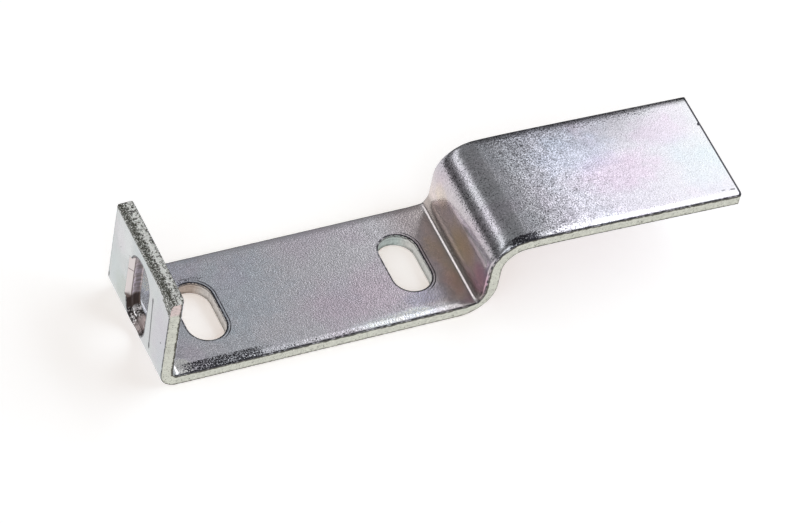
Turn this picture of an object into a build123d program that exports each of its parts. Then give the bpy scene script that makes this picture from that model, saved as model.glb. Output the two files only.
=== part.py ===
"""A stamped bracket: one strip of zinc-plated steel, cropped, punched and folded.

The strip stands up as a tab at one end, lies flat as a base with two slots across it, climbs a
tight step and runs on as a raised, plain plate that droops a little towards its free end.

Frame: +X runs along the strip from the tab to the raised plate, +Y across it and +Z up. The origin
is midway between the two base slots, on the underside of the base. All sizes are in millimetres.
"""

from build123d import *
import os
from math import cos, radians, sin

# ------------------------------------------------------------------ driving dimensions
# The strip that everything is folded from.
strip_width = 35.0
strip_thickness = 4.0

# The base, with two slots that run across the strip.
slot_pitch = 57.0            # from one slot's centre to the other's, along the strip
base_slot_length = 19.0      # end to end, across the strip
base_slot_width = 10.5       # along the strip

# The upright tab, which leans out a little from square.
tab_face_to_slot = 18.0      # from the outside of the fold to the nearer slot's centre
tab_height = 32.0            # of its outer top edge above the base's underside
tab_lean = 1.8               # away from the base, in degrees
tab_bend_radius = 1.2        # inside radius of the fold

# The tab's upright slot, punched in the flat strip, so that its lower end goes round the fold.
tab_slot_width = 11.7
tab_slot_top = 27.7          # height of its upper end above the base's underside
tab_slot_offset = 0.4        # its middle lies this far from the strip's centre line, towards +Y
tab_slot_wrap = 35.0         # how far its lower end goes round the fold, in degrees
tab_slot_corner = 5.75       # radius of the corners of its lower end

# The step: a pressed crease, a hollow riser and a broad crest.
slot_to_riser = 13.5         # from the farther slot's centre to the riser's upright face
crease_angle = 50.0          # how far the strip turns at the crease, in degrees
crease_radius = 0.4
riser_hollow_radius = 5.4    # the riser's face between the crease and the upright stretch
raised_height = 25.0         # top of the crest above the base's underside
crest_radius = 10.4          # outside radius of the upper fold

# The raised plate.
plate_length = 60.3          # from the end of the crest's fold to the cropped end
plate_droop = 1.7            # slope towards the free end, in degrees

# Edges: shearing pulls the upper edges down and leaves the lower ones square.
strip_edge_roll = 0.8
slot_edge_roll = 0.3
tab_crop_roll = 0.8          # on the tab's outer face, where it was cropped

# How closely points have to meet.
TOLERANCE = 0.001

# ------------------------------------------------------------------ derived places
half_width = strip_width / 2
tab_face_x = -slot_pitch / 2 - tab_face_to_slot
tab_outer_radius = tab_bend_radius + strip_thickness
fold_axis_x = tab_face_x + tab_outer_radius
lean = radians(tab_lean)


def tab_point(radius, rise=0.0):
    """Return the point at a radius where the tab leaves its fold, or a rise further up the tab."""
    x = fold_axis_x - radius * cos(lean) - rise * sin(lean)
    z = tab_outer_radius - radius * sin(lean) + rise * cos(lean)
    return (x, z)


tab_foot_z = tab_point(tab_outer_radius)[1]
tab_rise = (tab_height - tab_foot_z) / cos(lean)
tab_slot_rise = (tab_slot_top - tab_foot_z) / cos(lean)

riser_face_x = slot_pitch / 2 + slot_to_riser
riser_back_x = riser_face_x + strip_thickness
hollow_centre_x = riser_face_x - riser_hollow_radius
hollow_centre_z = strip_thickness + riser_hollow_radius * cos(radians(crease_angle))
crease_x = hollow_centre_x + riser_hollow_radius * sin(radians(crease_angle))
heel_radius = riser_hollow_radius + strip_thickness
crest_centre = (riser_face_x + crest_radius, raised_height - crest_radius)


def crest_point(radius, length=0.0):
    """Return the point at a radius where the crest's fold ends, or a length further along the plate."""
    slope = radians(plate_droop)
    x = crest_centre[0] + radius * sin(slope) + length * cos(slope)
    z = crest_centre[1] + radius * cos(slope) - length * sin(slope)
    return (x, z)


# ------------------------------------------------------------------ the tab's slot, as a tool
# An upright slot with a round top. A plane through the fold's axis ends it, square to the folded
# strip there, and its two lower corners are rounded almost into a half circle.
wrap = lean + radians(tab_slot_wrap)
tab_plane = Plane(
    origin=(fold_axis_x, 0, tab_outer_radius),
    x_dir=(0, 1, 0),
    z_dir=(cos(lean), 0, sin(lean)),
)
end_direction = (-cos(wrap), 0, -sin(wrap))

with BuildPart() as tab_slot:
    with BuildSketch(tab_plane.offset(-tab_outer_radius - strip_thickness)):
        with Locations((tab_slot_offset, tab_slot_rise - tab_height)):
            SlotOverall(2 * tab_height, tab_slot_width, rotation=90)
    extrude(amount=strip_thickness + 2 * tab_outer_radius)
    end_plane = Plane(
        origin=(fold_axis_x, 0, tab_outer_radius),
        x_dir=(0, 1, 0),
        z_dir=(-sin(wrap), 0, cos(wrap)),
    )
    split(bisect_by=end_plane, keep=Keep.TOP)
    lower_corners = tab_slot.edges().filter_by(Axis((0, 0, 0), end_direction))
    fillet(lower_corners, radius=tab_slot_corner)

# ------------------------------------------------------------------ the folded section
# Both faces of the strip, seen from the side, in the section's own x and z.
with BuildLine() as upper_face:
    Line(crest_point(crest_radius, plate_length), crest_point(crest_radius))
    CenterArc(crest_centre, crest_radius, 90 - plate_droop, 90 + plate_droop)
    Line((riser_face_x, crest_centre[1]), (riser_face_x, hollow_centre_z))
    hollow = CenterArc(
        (hollow_centre_x, hollow_centre_z), riser_hollow_radius, 0, crease_angle - 90
    )
    Line(hollow @ 1, (fold_axis_x, strip_thickness))
    CenterArc((fold_axis_x, tab_outer_radius), tab_bend_radius, 270, tab_lean - 90)
    Line(tab_point(tab_bend_radius), tab_point(tab_bend_radius, tab_rise))

with BuildLine() as lower_face:
    Line(tab_point(tab_outer_radius, tab_rise), tab_point(tab_outer_radius))
    CenterArc((fold_axis_x, tab_outer_radius), tab_outer_radius, 180 + tab_lean, 90 - tab_lean)
    Line((fold_axis_x, 0), (riser_back_x - heel_radius, 0))
    CenterArc((riser_back_x - heel_radius, heel_radius), heel_radius, 270, 90)
    Line((riser_back_x, heel_radius), (riser_back_x, crest_centre[1]))
    CenterArc(crest_centre, crest_radius - strip_thickness, 180, -90 - plate_droop)
    Line(
        crest_point(crest_radius - strip_thickness),
        crest_point(crest_radius - strip_thickness, plate_length),
    )


def edges_on(path, edges):
    """Return the edges whose middles lie on a path of the section, at any place across the strip."""
    section_path = Plane.XZ.from_local_coords(path)
    middles = [(edge, edge.position_at(0.5)) for edge in edges]
    return [
        edge for edge, at in middles if section_path.distance_to(Vector(at.X, 0, at.Z)) < TOLERANCE
    ]


# ------------------------------------------------------------------ the bracket
with BuildPart() as bracket:
    with BuildSketch(Plane.XZ):
        with BuildLine():
            add(upper_face.line)
            add(lower_face.line)
            Line(upper_face.line @ 1, lower_face.line @ 0)
            Line(lower_face.line @ 1, upper_face.line @ 0)
        make_face()
    extrude(amount=half_width, both=True)

    # The crease at the foot of the riser.
    crease = bracket.edges().filter_by(Axis.Y).sort_by_distance((crease_x, 0, strip_thickness))[0]
    fillet(crease, radius=crease_radius)

    # The tab's outer edge and the strip's upper edges, drawn down where they were sheared.
    crop_x, crop_z = tab_point(tab_outer_radius, tab_rise)
    crop = bracket.edges().filter_by(Axis.Y).sort_by_distance((crop_x, 0, crop_z))[0]
    fillet(crop, radius=tab_crop_roll)
    sides = bracket.faces().filter_by(Axis.Y).edges()
    plate_end = bracket.edges().filter_by(Axis.Y).sort_by(Axis.X)[-1]
    fillet(edges_on(upper_face.line, sides) + [plate_end], radius=strip_edge_roll)

    # The two slots across the base.
    with BuildSketch(Plane.XY):
        with GridLocations(slot_pitch, 0, 2, 1):
            SlotOverall(base_slot_length, base_slot_width, rotation=90)
    extrude(amount=strip_thickness, mode=Mode.SUBTRACT)
    slot_rims = bracket.edges(Select.LAST).group_by(Axis.Z)[-1]
    fillet(slot_rims, radius=slot_edge_roll)

    # The tab's slot.
    add(tab_slot.part, mode=Mode.SUBTRACT)

bracket.part.label = "bracket"

os.makedirs("parts", exist_ok=True)
export_step(bracket.part, "parts/bracket.step")
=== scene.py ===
"""A stamped, zinc-plated steel bracket, dressed for rendering.

The bracket is one strip of steel. Its skin is worked out in the flat, as a function of the place
along the strip, the place across it and the depth through it, and is then folded onto the same
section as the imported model. Sizes are in metres: +X runs from the upright tab to the raised
plate, +Y across the strip and +Z up.
"""

import logging
import math
from abc import ABC, abstractmethod
from dataclasses import dataclass, field
from enum import Enum
from functools import reduce

import bpy
import numpy as np
from mathutils import Matrix, Vector


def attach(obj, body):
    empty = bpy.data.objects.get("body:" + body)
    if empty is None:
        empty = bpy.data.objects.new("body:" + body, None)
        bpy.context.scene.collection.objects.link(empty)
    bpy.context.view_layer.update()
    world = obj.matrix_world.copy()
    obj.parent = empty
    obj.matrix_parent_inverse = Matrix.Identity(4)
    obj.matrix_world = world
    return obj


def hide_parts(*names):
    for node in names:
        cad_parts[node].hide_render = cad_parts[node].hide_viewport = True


MM = 0.001
NODE = "bracket"
BODY = "root"
NOISE_CELLS = 256
TINY = 1e-6
# The span that a noise mostly stays in, and the base slots' middles along the strip in millimetres.
UNEVEN = (0.35, 0.65)
BASE_SLOTS = (-28.5, 28.5)

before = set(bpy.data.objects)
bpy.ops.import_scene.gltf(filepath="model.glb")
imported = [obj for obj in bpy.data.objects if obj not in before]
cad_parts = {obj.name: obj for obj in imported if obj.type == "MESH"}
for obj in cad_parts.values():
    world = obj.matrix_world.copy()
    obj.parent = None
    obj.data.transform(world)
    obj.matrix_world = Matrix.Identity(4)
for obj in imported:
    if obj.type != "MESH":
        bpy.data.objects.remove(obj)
log = logging.getLogger("bracket")


class Sheet(Enum):
    """The two rolled faces of the strip."""

    UPPER = 1.0
    LOWER = 0.0


class Region(Enum):
    """The finishes on the bracket's skin, by material slot."""

    PLATED = 0
    SHEARED = 1
    CROPPED = 2
    BASE_SLOT = 3
    TAB_SLOT = 4


# ------------------------------------------------------------------------------- form
@dataclass(frozen=True)
class FoldedSection:
    """The side view of the folded strip: one path for each face, matched by developed length.

    Each segment holds the same fold or flat on both faces, so a depth between 0 and 1 runs
    straight from the lower path to the upper one.
    """

    thickness: float = 4.0 * MM
    tab_face_x: float = -46.5 * MM
    tab_height: float = 32.0 * MM
    tab_lean: float = math.radians(1.8)
    tab_bend_radius: float = 1.2 * MM
    riser_face_x: float = 42.0 * MM
    hollow_radius: float = 5.4 * MM
    crease_angle: float = math.radians(50.0)
    crease_facet: float = 0.55 * MM
    crease_facet_angle: float = math.radians(37.0)
    crease_ease: float = 0.0065 * MM
    raised_height: float = 25.0 * MM
    crest_radius: float = 10.4 * MM
    plate_rise: float = math.radians(1.3)
    plate_ease: float = 7.0 * MM
    end_x: float = 112.955 * MM
    end_height: float = 23.206 * MM
    samples: int = 240

    @staticmethod
    def _arc(centre: tuple[float, float], radius: float, start: float, end: float, n: int) -> np.ndarray:
        """Return n points of an arc: centre + radius (cos a, sin a), a running from start to end."""
        a = np.linspace(start, end, n)
        return np.column_stack((centre[0] + radius * np.cos(a), centre[1] + radius * np.sin(a)))

    @staticmethod
    def _line(start: tuple[float, float], end: tuple[float, float], n: int) -> np.ndarray:
        """Return n points from start to end: start + f (end - start), f running from 0 to 1."""
        f = np.linspace(0.0, 1.0, n)[:, None]
        return np.asarray(start) + f * (np.asarray(end) - np.asarray(start))

    @property
    def fold_axis(self) -> tuple[float, float]:
        """The axis that the tab is folded about."""
        outer = self.tab_bend_radius + self.thickness
        return (self.tab_face_x + outer, outer)

    def tab_point(self, radius: float, rise: float = 0.0) -> tuple[float, float]:
        """Return a point of the leaning tab.

        Args:
            radius: Distance from the axis of the fold, one for each face.
            rise: How far up the tab from where it leaves the fold.

        Returns:
            The point, x and z.
        """
        fx, fz = self.fold_axis
        lean = self.tab_lean
        x = fx - radius * math.cos(lean) - rise * math.sin(lean)
        return (x, fz - radius * math.sin(lean) + rise * math.cos(lean))

    def rise_to(self, height: float) -> float:
        """Return how far up the tab's outer face a height above the floor lies."""
        foot = self.tab_point(self.fold_axis[1])[1]
        return (height - foot) / math.cos(self.tab_lean)

    @property
    def tab_rise(self) -> float:
        """The length of the tab's outer face above its fold."""
        return self.rise_to(self.tab_height)

    @property
    def hollow_centre(self) -> tuple[float, float]:
        """The axis of the hollow between the crease and the riser."""
        height = self.thickness + self.hollow_radius * math.cos(self.crease_angle)
        return (self.riser_face_x - self.hollow_radius, height)

    @property
    def crest_centre(self) -> tuple[float, float]:
        """The axis of the upper fold."""
        return (self.riser_face_x + self.crest_radius, self.raised_height - self.crest_radius)

    def _crease_path(self, n: int) -> np.ndarray:
        """Return the upper face from the flat base over the crease to the riser.

        A flat, a narrow pressed facet at crease_facet_angle and the hollow's own arc, joined end
        to end, sampled at even steps of length and eased by a running mean that reaches
        crease_ease to each side.

        Args:
            n: Number of points returned.

        Returns:
            An array of n points, x and z.
        """
        cx, cz = self.hollow_centre
        rise = self.crease_facet * math.sin(self.crease_facet_angle)
        end_z = self.thickness + rise
        end_x = cx + math.sqrt(self.hollow_radius**2 - (end_z - cz) ** 2)
        start_x = end_x - self.crease_facet * math.cos(self.crease_facet_angle)
        start_angle = math.atan2(end_z - cz, end_x - cx)
        flat = self._line((cx, self.thickness), (start_x, self.thickness), n)
        facet = self._line((start_x, self.thickness), (end_x, end_z), n)
        hollow = self._arc((cx, cz), self.hollow_radius, start_angle, 0.0, 4 * n)
        path = np.vstack((flat, facet[1:], hollow[1:]))
        fine = self.resample(path, 16 * n)
        skip = int(round(self.crease_ease * 16 * n / self.path_length(path)))
        mean = np.full(2 * skip + 1, 1.0 / (2 * skip + 1))
        inner = np.column_stack([np.convolve(fine[:, k], mean, "valid") for k in (0, 1)])
        return self.resample(np.vstack((fine[:1], inner[skip:-skip], fine[-1:])), n)

    @staticmethod
    def path_length(points: np.ndarray) -> float:
        """Return the length of a path of points."""
        return float(np.hypot(*np.diff(points, axis=0).T).sum())

    @staticmethod
    def resample(points: np.ndarray, n: int) -> np.ndarray:
        """Sample a path again at even steps of length.

        Args:
            points: The path's points.
            n: Number of points wanted.

        Returns:
            An array of n points.
        """
        length = np.concatenate(([0.0], np.cumsum(np.hypot(*np.diff(points, axis=0).T))))
        at = np.linspace(0.0, length[-1], n)
        return np.column_stack([np.interp(at, length, points[:, k]) for k in (0, 1)])

    def segments(self) -> list[tuple[str, np.ndarray, np.ndarray]]:
        """Work out each fold or flat of the strip.

        Returns:
            The name, the lower path and the upper path of each, from the tab to the plate.
        """
        n = self.samples
        t = self.thickness
        fx, fz = self.fold_axis
        leave = math.pi + self.tab_lean
        hx, _ = self.hollow_centre
        heel = self.hollow_radius + t
        back = self.riser_face_x + t
        cx, cz = self.crest_centre
        plate_low, plate_high = self._plate_paths(n)
        crest_end = math.pi / 2 + self.plate_rise
        radii = (fz, self.tab_bend_radius)
        tab = [self._line(self.tab_point(r, self.tab_rise), self.tab_point(r), n) for r in radii]
        return [
            ("tab", *tab),
            ("fold", *(self._arc((fx, fz), r, leave, 1.5 * math.pi, n) for r in radii)),
            ("base", self._line((fx, 0.0), (hx, 0.0), n), self._line((fx, t), (hx, t), n)),
            ("heel", self._arc((hx, heel), heel, -math.pi / 2, 0.0, n), self._crease_path(n)),
            (
                "riser",
                self._line((back, heel), (back, cz), n),
                self._line((self.riser_face_x, self.hollow_centre[1]), (self.riser_face_x, cz), n),
            ),
            (
                "crest",
                self._arc((cx, cz), self.crest_radius - t, math.pi, crest_end, n),
                self._arc((cx, cz), self.crest_radius, math.pi, crest_end, n),
            ),
            ("plate", plate_low, plate_high),
        ]

    def _plate_paths(self, n: int) -> tuple[np.ndarray, np.ndarray]:
        """Return the raised plate's lower and upper path.

        The plate leaves the fold rising a little and eases into its droop: at a distance d its
        slope is (e + rise) exp(-d / ease) - e, with e chosen so that its end comes to end_height.

        Args:
            n: Number of points of each path.

        Returns:
            The lower and the upper path.
        """
        rise, ease = self.plate_rise, self.plate_ease
        x0 = self.crest_centre[0] - self.crest_radius * math.sin(rise)
        z0 = self.crest_centre[1] + self.crest_radius * math.cos(rise)
        length = self.end_x - x0
        d = np.linspace(0.0, length, n)
        eased = ease * (1.0 - math.exp(-length / ease))
        final = (z0 - self.end_height + rise * eased) / (length - eased)
        slope = (final + rise) * np.exp(-d / ease) - final
        climb = (final + rise) * ease * (1.0 - np.exp(-d / ease)) - final * d
        upper = np.column_stack((x0 + d, z0 + climb))
        lower = upper - self.thickness * np.column_stack((-np.sin(slope), np.cos(slope)))
        return lower, upper

    def developed(self) -> tuple[dict[str, tuple[float, float]], np.ndarray, np.ndarray, np.ndarray]:
        """Unroll the section.

        The developed length of a segment is the mean of its two faces' lengths.

        Returns:
            The range of developed length of each named segment, and the sampled developed
            length with the lower and the upper path's points there.
        """
        ranges, at, lower, upper = {}, [], [], []
        start = 0.0
        for name, low, high in self.segments():
            length = 0.5 * (self.path_length(low) + self.path_length(high))
            ranges[name] = (start, start + length)
            at.append(np.linspace(start, start + length, len(low)))
            lower.append(low)
            upper.append(high)
            start += length
        return ranges, np.concatenate(at), np.vstack(lower), np.vstack(upper)


@dataclass(frozen=True)
class Slot:
    """A slot with round ends in the flat strip: middle, size and the way it runs."""

    along: float
    across: float
    length: float
    width: float
    runs_along: bool
    region: Region

    def own_axes(self, s: np.ndarray, y: np.ndarray) -> tuple[np.ndarray, np.ndarray]:
        """Return places measured from the middle, first along the slot's length, then across it."""
        ds, dy = s - self.along, y - self.across
        return (ds, dy) if self.runs_along else (dy, ds)

    def distance(self, s: np.ndarray, y: np.ndarray) -> np.ndarray:
        """Return the distance outside the slot's wall: |(max(|p| - straight, 0), q)| - radius.

        Args:
            s: Developed lengths.
            y: Places across.

        Returns:
            The distances, below 0 inside the slot.
        """
        p, q = self.own_axes(s, y)
        straight = (self.length - self.width) / 2
        return np.hypot(np.maximum(np.abs(p) - straight, 0.0), q) - self.width / 2

    def outline(self, s: np.ndarray, y: np.ndarray) -> tuple[np.ndarray, np.ndarray]:
        """Return where rays from the middle towards the given places cross the slot's wall.

        A ray in direction (c, d) meets the straight wall at radius / |d| while that lies
        between the round ends, and else an end at straight c + sqrt(radius^2 - straight^2 d^2).

        Args:
            s: Developed lengths of the given places.
            y: Places across.

        Returns:
            The developed lengths and places across of the crossings.
        """
        p, q = self.own_axes(s, y)
        reach = np.hypot(p, q)
        c, d = np.abs(p) / reach, np.abs(q) / reach
        straight, radius = (self.length - self.width) / 2, self.width / 2
        side = radius / np.maximum(d, 1e-9)
        end = straight * c + np.sqrt(np.maximum(radius**2 - (straight * d) ** 2, 0.0))
        scale = np.where(side * c <= straight, side, end) / reach
        return (
            self.along + (s - self.along) * scale,
            self.across + (y - self.across) * scale,
        )


def smooth_noise(x: np.ndarray, y: np.ndarray, cell: float, seed: int) -> np.ndarray:
    """Return smooth value noise between -1 and 1.

    Random values stand at the corners of square cells. Between them the value is the bilinear
    blend with each fraction f eased to f^2 (3 - 2 f).

    Args:
        x: First coordinate.
        y: Second coordinate.
        cell: Side of a cell.
        seed: Seed of the random values.

    Returns:
        The noise at each place.
    """
    table = np.random.default_rng(seed).uniform(-1.0, 1.0, (NOISE_CELLS, NOISE_CELLS))
    gx, gy = x / cell, y / cell
    ix, iy = np.floor(gx).astype(int), np.floor(gy).astype(int)
    fx, fy = gx - ix, gy - iy
    fx, fy = fx * fx * (3 - 2 * fx), fy * fy * (3 - 2 * fy)

    def corner(a: int, b: int) -> np.ndarray:
        """Return the random values a cells on in x and b cells on in y."""
        return table[(ix + a) % NOISE_CELLS, (iy + b) % NOISE_CELLS]

    near = corner(0, 0) * (1 - fx) + corner(1, 0) * fx
    far = corner(0, 1) * (1 - fx) + corner(1, 1) * fx
    return near * (1 - fy) + far * fy


def edge_roll(distance: np.ndarray, reach: float, drop: float) -> np.ndarray:
    """Return how far a sheared edge is drawn down: a quarter ellipse of the given reach and drop."""
    f = np.clip(1.0 - distance / reach, 0.0, 1.0)
    return drop * (1.0 - np.sqrt(1.0 - f * f))


@dataclass
class StripMesh:
    """Collects the vertices and faces of the strip's skin in the flat."""

    s: list[np.ndarray] = field(default_factory=list)
    y: list[np.ndarray] = field(default_factory=list)
    depth: list[np.ndarray] = field(default_factory=list)
    faces: list[np.ndarray] = field(default_factory=list)
    regions: list[np.ndarray] = field(default_factory=list)
    count: int = 0

    def add_points(self, s: np.ndarray, y: np.ndarray, depth: np.ndarray) -> np.ndarray:
        """Add points.

        Args:
            s: Developed lengths.
            y: Places across.
            depth: Depths, 0 to 1.

        Returns:
            The points' indices, in the shape of s.
        """
        self.s.append(s.ravel())
        self.y.append(y.ravel())
        self.depth.append(depth.ravel())
        index = self.count + np.arange(s.size).reshape(s.shape)
        self.count += s.size
        return index

    def add_grid(self, index: np.ndarray, region: Region, flip: bool, closed: bool = False) -> None:
        """Add the quads of a grid of point indices.

        Args:
            index: Indices by row and column.
            region: Finish of the faces.
            flip: Whether the faces turn the other way.
            closed: Whether the last column joins the first.
        """
        if closed:
            index = np.hstack((index, index[:, :1]))
        a, b, c, d = index[:-1, :-1], index[1:, :-1], index[1:, 1:], index[:-1, 1:]
        order = (a, d, c, b) if flip else (a, b, c, d)
        quads = np.stack([q.ravel() for q in order], axis=1)
        self.faces.append(quads)
        self.regions.append(np.full(len(quads), region.value))


@dataclass(frozen=True)
class MeshSteps:
    """How finely the skin is divided: lengths of its steps, and the crowded levels at its edges."""

    edge_levels: tuple[float, ...] = (0.0, 0.03, 0.08, 0.16, 0.28, 0.45, 0.7, 1.0, 1.35, 1.75, 2.3)
    edge_gap: float = 0.5 * MM
    across: int = 47
    tab_slot: float = 0.6 * MM
    fold: float = 0.25 * MM
    by_tab: float = 0.8 * MM
    base_slot: float = 0.5 * MM
    between_slots: float = 1.0 * MM
    by_heel: float = 0.7 * MM
    heel: float = 0.13 * MM
    riser: float = 0.4 * MM
    crest: float = 0.3 * MM
    plate: float = 1.05 * MM
    plate_tail: float = 2.4 * MM
    ring_near: tuple[float, ...] = (0.0, 0.004, 0.011, 0.022, 0.038, 0.06, 0.09, 0.13, 0.18)
    ring_middle: tuple[float, float, int] = (0.25, 0.75, 6)
    wall: int = 16
    wall_near: tuple[float, ...] = (0.97, 0.03, 0.015)

    def edges(self) -> np.ndarray:
        """Return the crowded levels in from an edge."""
        return np.array(self.edge_levels) * MM


@dataclass
class Bracket:
    """The bracket's skin: two rolled faces, the sheared rim and the walls of the slots."""

    section: FoldedSection = field(default_factory=FoldedSection)
    steps: MeshSteps = field(default_factory=MeshSteps)
    width: float = 35.0 * MM
    slot_pitch: float = 57.0 * MM
    base_slot_length: float = 19.0 * MM
    base_slot_width: float = 10.5 * MM
    tab_slot_width: float = 11.7 * MM
    tab_slot_top: float = 27.7 * MM
    tab_slot_offset: float = 0.4 * MM
    tab_slot_wrap: float = math.radians(35.0)
    edge_reach: float = 2.4 * MM
    edge_drop: float = 0.85 * MM
    far_drop: float = 0.45 * MM
    end_reach: float = 0.5 * MM
    end_drop: float = 0.22 * MM
    slot_reach: float = 0.30 * MM
    slot_drop: float = 0.10 * MM
    crop_reach: float = 1.3 * MM
    crop_drop: float = 0.85 * MM
    burr_reach: float = 0.12 * MM
    tab_corner_radius: float = 0.5 * MM
    end_corner_radius: float = 0.35 * MM
    corner_facet: tuple[float, float, float] = (4.6 * MM, 9.5 * MM, 0.45 * MM)
    wall_fade: float = 0.06
    break_soft: float = 0.1
    break_waver: float = 0.06
    shear_land: float = 0.42
    shear_setback: float = 0.10 * MM
    shear_roughness: float = 0.05 * MM
    punch_land: float = 0.38
    punch_setback: float = 0.30 * MM
    punch_roughness: float = 0.10 * MM
    crop_roughness: float = 0.16 * MM
    crop_band: float = 0.4 * MM
    crop_side: float = 0.05 * MM
    crop_depth: float = 0.35
    facet_heights: tuple[float, float] = (8.2 * MM, 23.6 * MM)
    facet_width: float = 1.35 * MM
    facet_depth: float = 1.25 * MM
    facet_ends: float = 0.35 * MM
    facet_reach: float = 3.5 * MM
    facet_side: float = 2.0 * MM
    tab_slot_margin: float = 1.4 * MM
    base_slot_margin: float = 2.6 * MM

    def slots(self) -> list[Slot]:
        """Place the three slots in the flat strip.

        Returns:
            The tab's slot and the base's two.
        """
        ranges, *_ = self.section.developed()
        tab_start, tab_end = ranges["tab"]
        fold_length = ranges["fold"][1] - ranges["fold"][0]
        top = tab_start + self.section.tab_rise - self.section.rise_to(self.tab_slot_top)
        end = tab_end + fold_length * self.tab_slot_wrap / (math.pi / 2 - self.section.tab_lean)
        tab = Slot(
            (top + end) / 2, self.tab_slot_offset, end - top, self.tab_slot_width, True, Region.TAB_SLOT
        )
        flat = ranges["base"][0] - self.section.fold_axis[0]
        base = [
            Slot(
                flat + side * self.slot_pitch / 2,
                0.0,
                self.base_slot_length,
                self.base_slot_width,
                False,
                Region.BASE_SLOT,
            )
            for side in (-1, 1)
        ]
        return [tab, *base]

    def _across_levels(self) -> np.ndarray:
        """Divide the strip's width, crowded towards both edges.

        Returns:
            The places across.
        """
        near = self.steps.edges()
        half = self.width / 2
        inner = half - near[-1] - self.steps.edge_gap
        middle = np.linspace(-inner, inner, self.steps.across)
        return np.concatenate((-half + near, middle, half - near[::-1]))

    def _along_levels(self, start: float, end: float, step: float) -> np.ndarray:
        """Return places along a stretch at about even steps."""
        return np.linspace(start, end, max(2, int(round((end - start) / step)) + 1))

    def _stretches(self) -> list[tuple[np.ndarray, Slot | None]]:
        """Divide the strip's length into plain stretches and blocks round the slots.

        Returns:
            The stretches in order: the places along each, and the slot inside it, if any.
        """
        steps = self.steps
        ranges, *_ = self.section.developed()
        tab_slot, *base_slots = self.slots()
        near = steps.edges()[:-1]
        stop = ranges["plate"][1]
        half_tab = tab_slot.length / 2 + self.tab_slot_margin
        half_base = self.base_slot_width / 2 + self.base_slot_margin
        tab_block, first, second = (
            self._along_levels(slot.along - half, slot.along + half, step)
            for slot, half, step in (
                (tab_slot, half_tab, steps.tab_slot),
                (base_slots[0], half_base, steps.base_slot),
                (base_slots[1], half_base, steps.base_slot),
            )
        )
        after_tab = (
            self._along_levels(tab_block[-1], ranges["fold"][1], steps.fold),
            self._along_levels(ranges["fold"][1], first[0], steps.by_tab)[1:],
        )
        after_slots = (
            self._along_levels(second[-1], ranges["heel"][0], steps.by_heel),
            self._along_levels(*ranges["heel"], steps.heel)[1:],
            self._along_levels(*ranges["riser"], steps.riser)[1:],
            self._along_levels(*ranges["crest"], steps.crest)[1:],
            self._along_levels(ranges["plate"][0], stop - steps.plate_tail, steps.plate)[1:],
            stop - near[::-1],
        )
        return [
            (np.concatenate((near, tab_block[:1])), None),
            (tab_block, tab_slot),
            (np.concatenate(after_tab), None),
            (first, base_slots[0]),
            (self._along_levels(first[-1], second[0], steps.between_slots), None),
            (second, base_slots[1]),
            (np.concatenate(after_slots), None),
        ]

    def _ring_levels(self) -> np.ndarray:
        """Divide the ring round a slot, crowded at both ends.

        Returns:
            The layers, 0 at the slot's wall and 1 at its block's rim.
        """
        near = np.array(self.steps.ring_near)
        return np.concatenate((near, np.linspace(*self.steps.ring_middle), 1.0 - near[::-1]))

    @staticmethod
    def _block_rim(along: np.ndarray, across: np.ndarray) -> tuple[np.ndarray, np.ndarray]:
        """Go once round a block: its first side, the right, the last and the left one back.

        Args:
            along: Places along the block.
            across: Places across the strip.

        Returns:
            The developed lengths and places across of the rim's points.
        """
        n, m = len(across), len(along)
        s = (np.full(n, along[0]), along[1:], np.full(n - 1, along[-1]), along[-2:0:-1])
        y = (across, np.full(m - 1, across[-1]), across[-2::-1], np.full(m - 2, across[0]))
        return np.concatenate(s), np.concatenate(y)

    def _build_sheet(self, mesh: StripMesh, sheet: Sheet) -> dict[str, np.ndarray]:
        """Build one rolled face in the flat, with its slots left open.

        Plain stretches are grids. Around a slot the grid is a ring: each layer lies at
        (1 - v) wall + v rim between the slot's wall and the block's rim.

        Args:
            mesh: Collects the points and faces.
            sheet: Which face.

        Returns:
            Index loops of the strip's outer rim ("rim") and of each slot's wall, by number.
        """
        across = self._across_levels()
        flip = sheet is Sheet.LOWER
        depth = sheet.value
        loops: dict[str, np.ndarray] = {}
        left, right = [], []
        joint = None
        for number, (along, slot) in enumerate(self._stretches()):
            if slot is None:
                s, y = np.meshgrid(along, across, indexing="ij")
                if joint is None:
                    index = mesh.add_points(s, y, np.full(s.shape, depth))
                else:
                    fresh = mesh.add_points(s[1:], y[1:], np.full(s[1:].shape, depth))
                    index = np.vstack((joint[None, :], fresh))
                mesh.add_grid(index, Region.PLATED, flip)
                if number == 0:
                    loops["start"] = index[0]
                left.append(index[:, 0])
                right.append(index[:, -1])
                joint = index[-1]
                continue
            n, m = len(across), len(along)
            rim_s, rim_y = self._block_rim(along, across)
            wall_s, wall_y = slot.outline(rim_s, rim_y)
            v = self._ring_levels()[:-1, None]
            ring_s, ring_y = wall_s + v * (rim_s - wall_s), wall_y + v * (rim_y - wall_y)
            ring = mesh.add_points(ring_s, ring_y, np.full(ring_s.shape, depth))
            rest = mesh.add_points(rim_s[n:], rim_y[n:], np.full(len(rim_s) - n, depth))
            rim = np.concatenate((joint, rest))
            mesh.add_grid(np.vstack((ring, rim[None, :])), Region.PLATED, not flip, closed=True)
            loops[str(number)] = ring[0]
            right.append(rim[n - 1:n - 1 + m])
            end = rim[n - 1 + m - 1:n - 1 + m - 1 + n][::-1]
            left.append(np.concatenate((rim[:1], rim[n - 1 + m - 1 + n - 1:][::-1])))
            joint = end
        loops["rim"] = self._rim_loop(loops.pop("start"), left, right, joint)
        return loops

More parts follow.
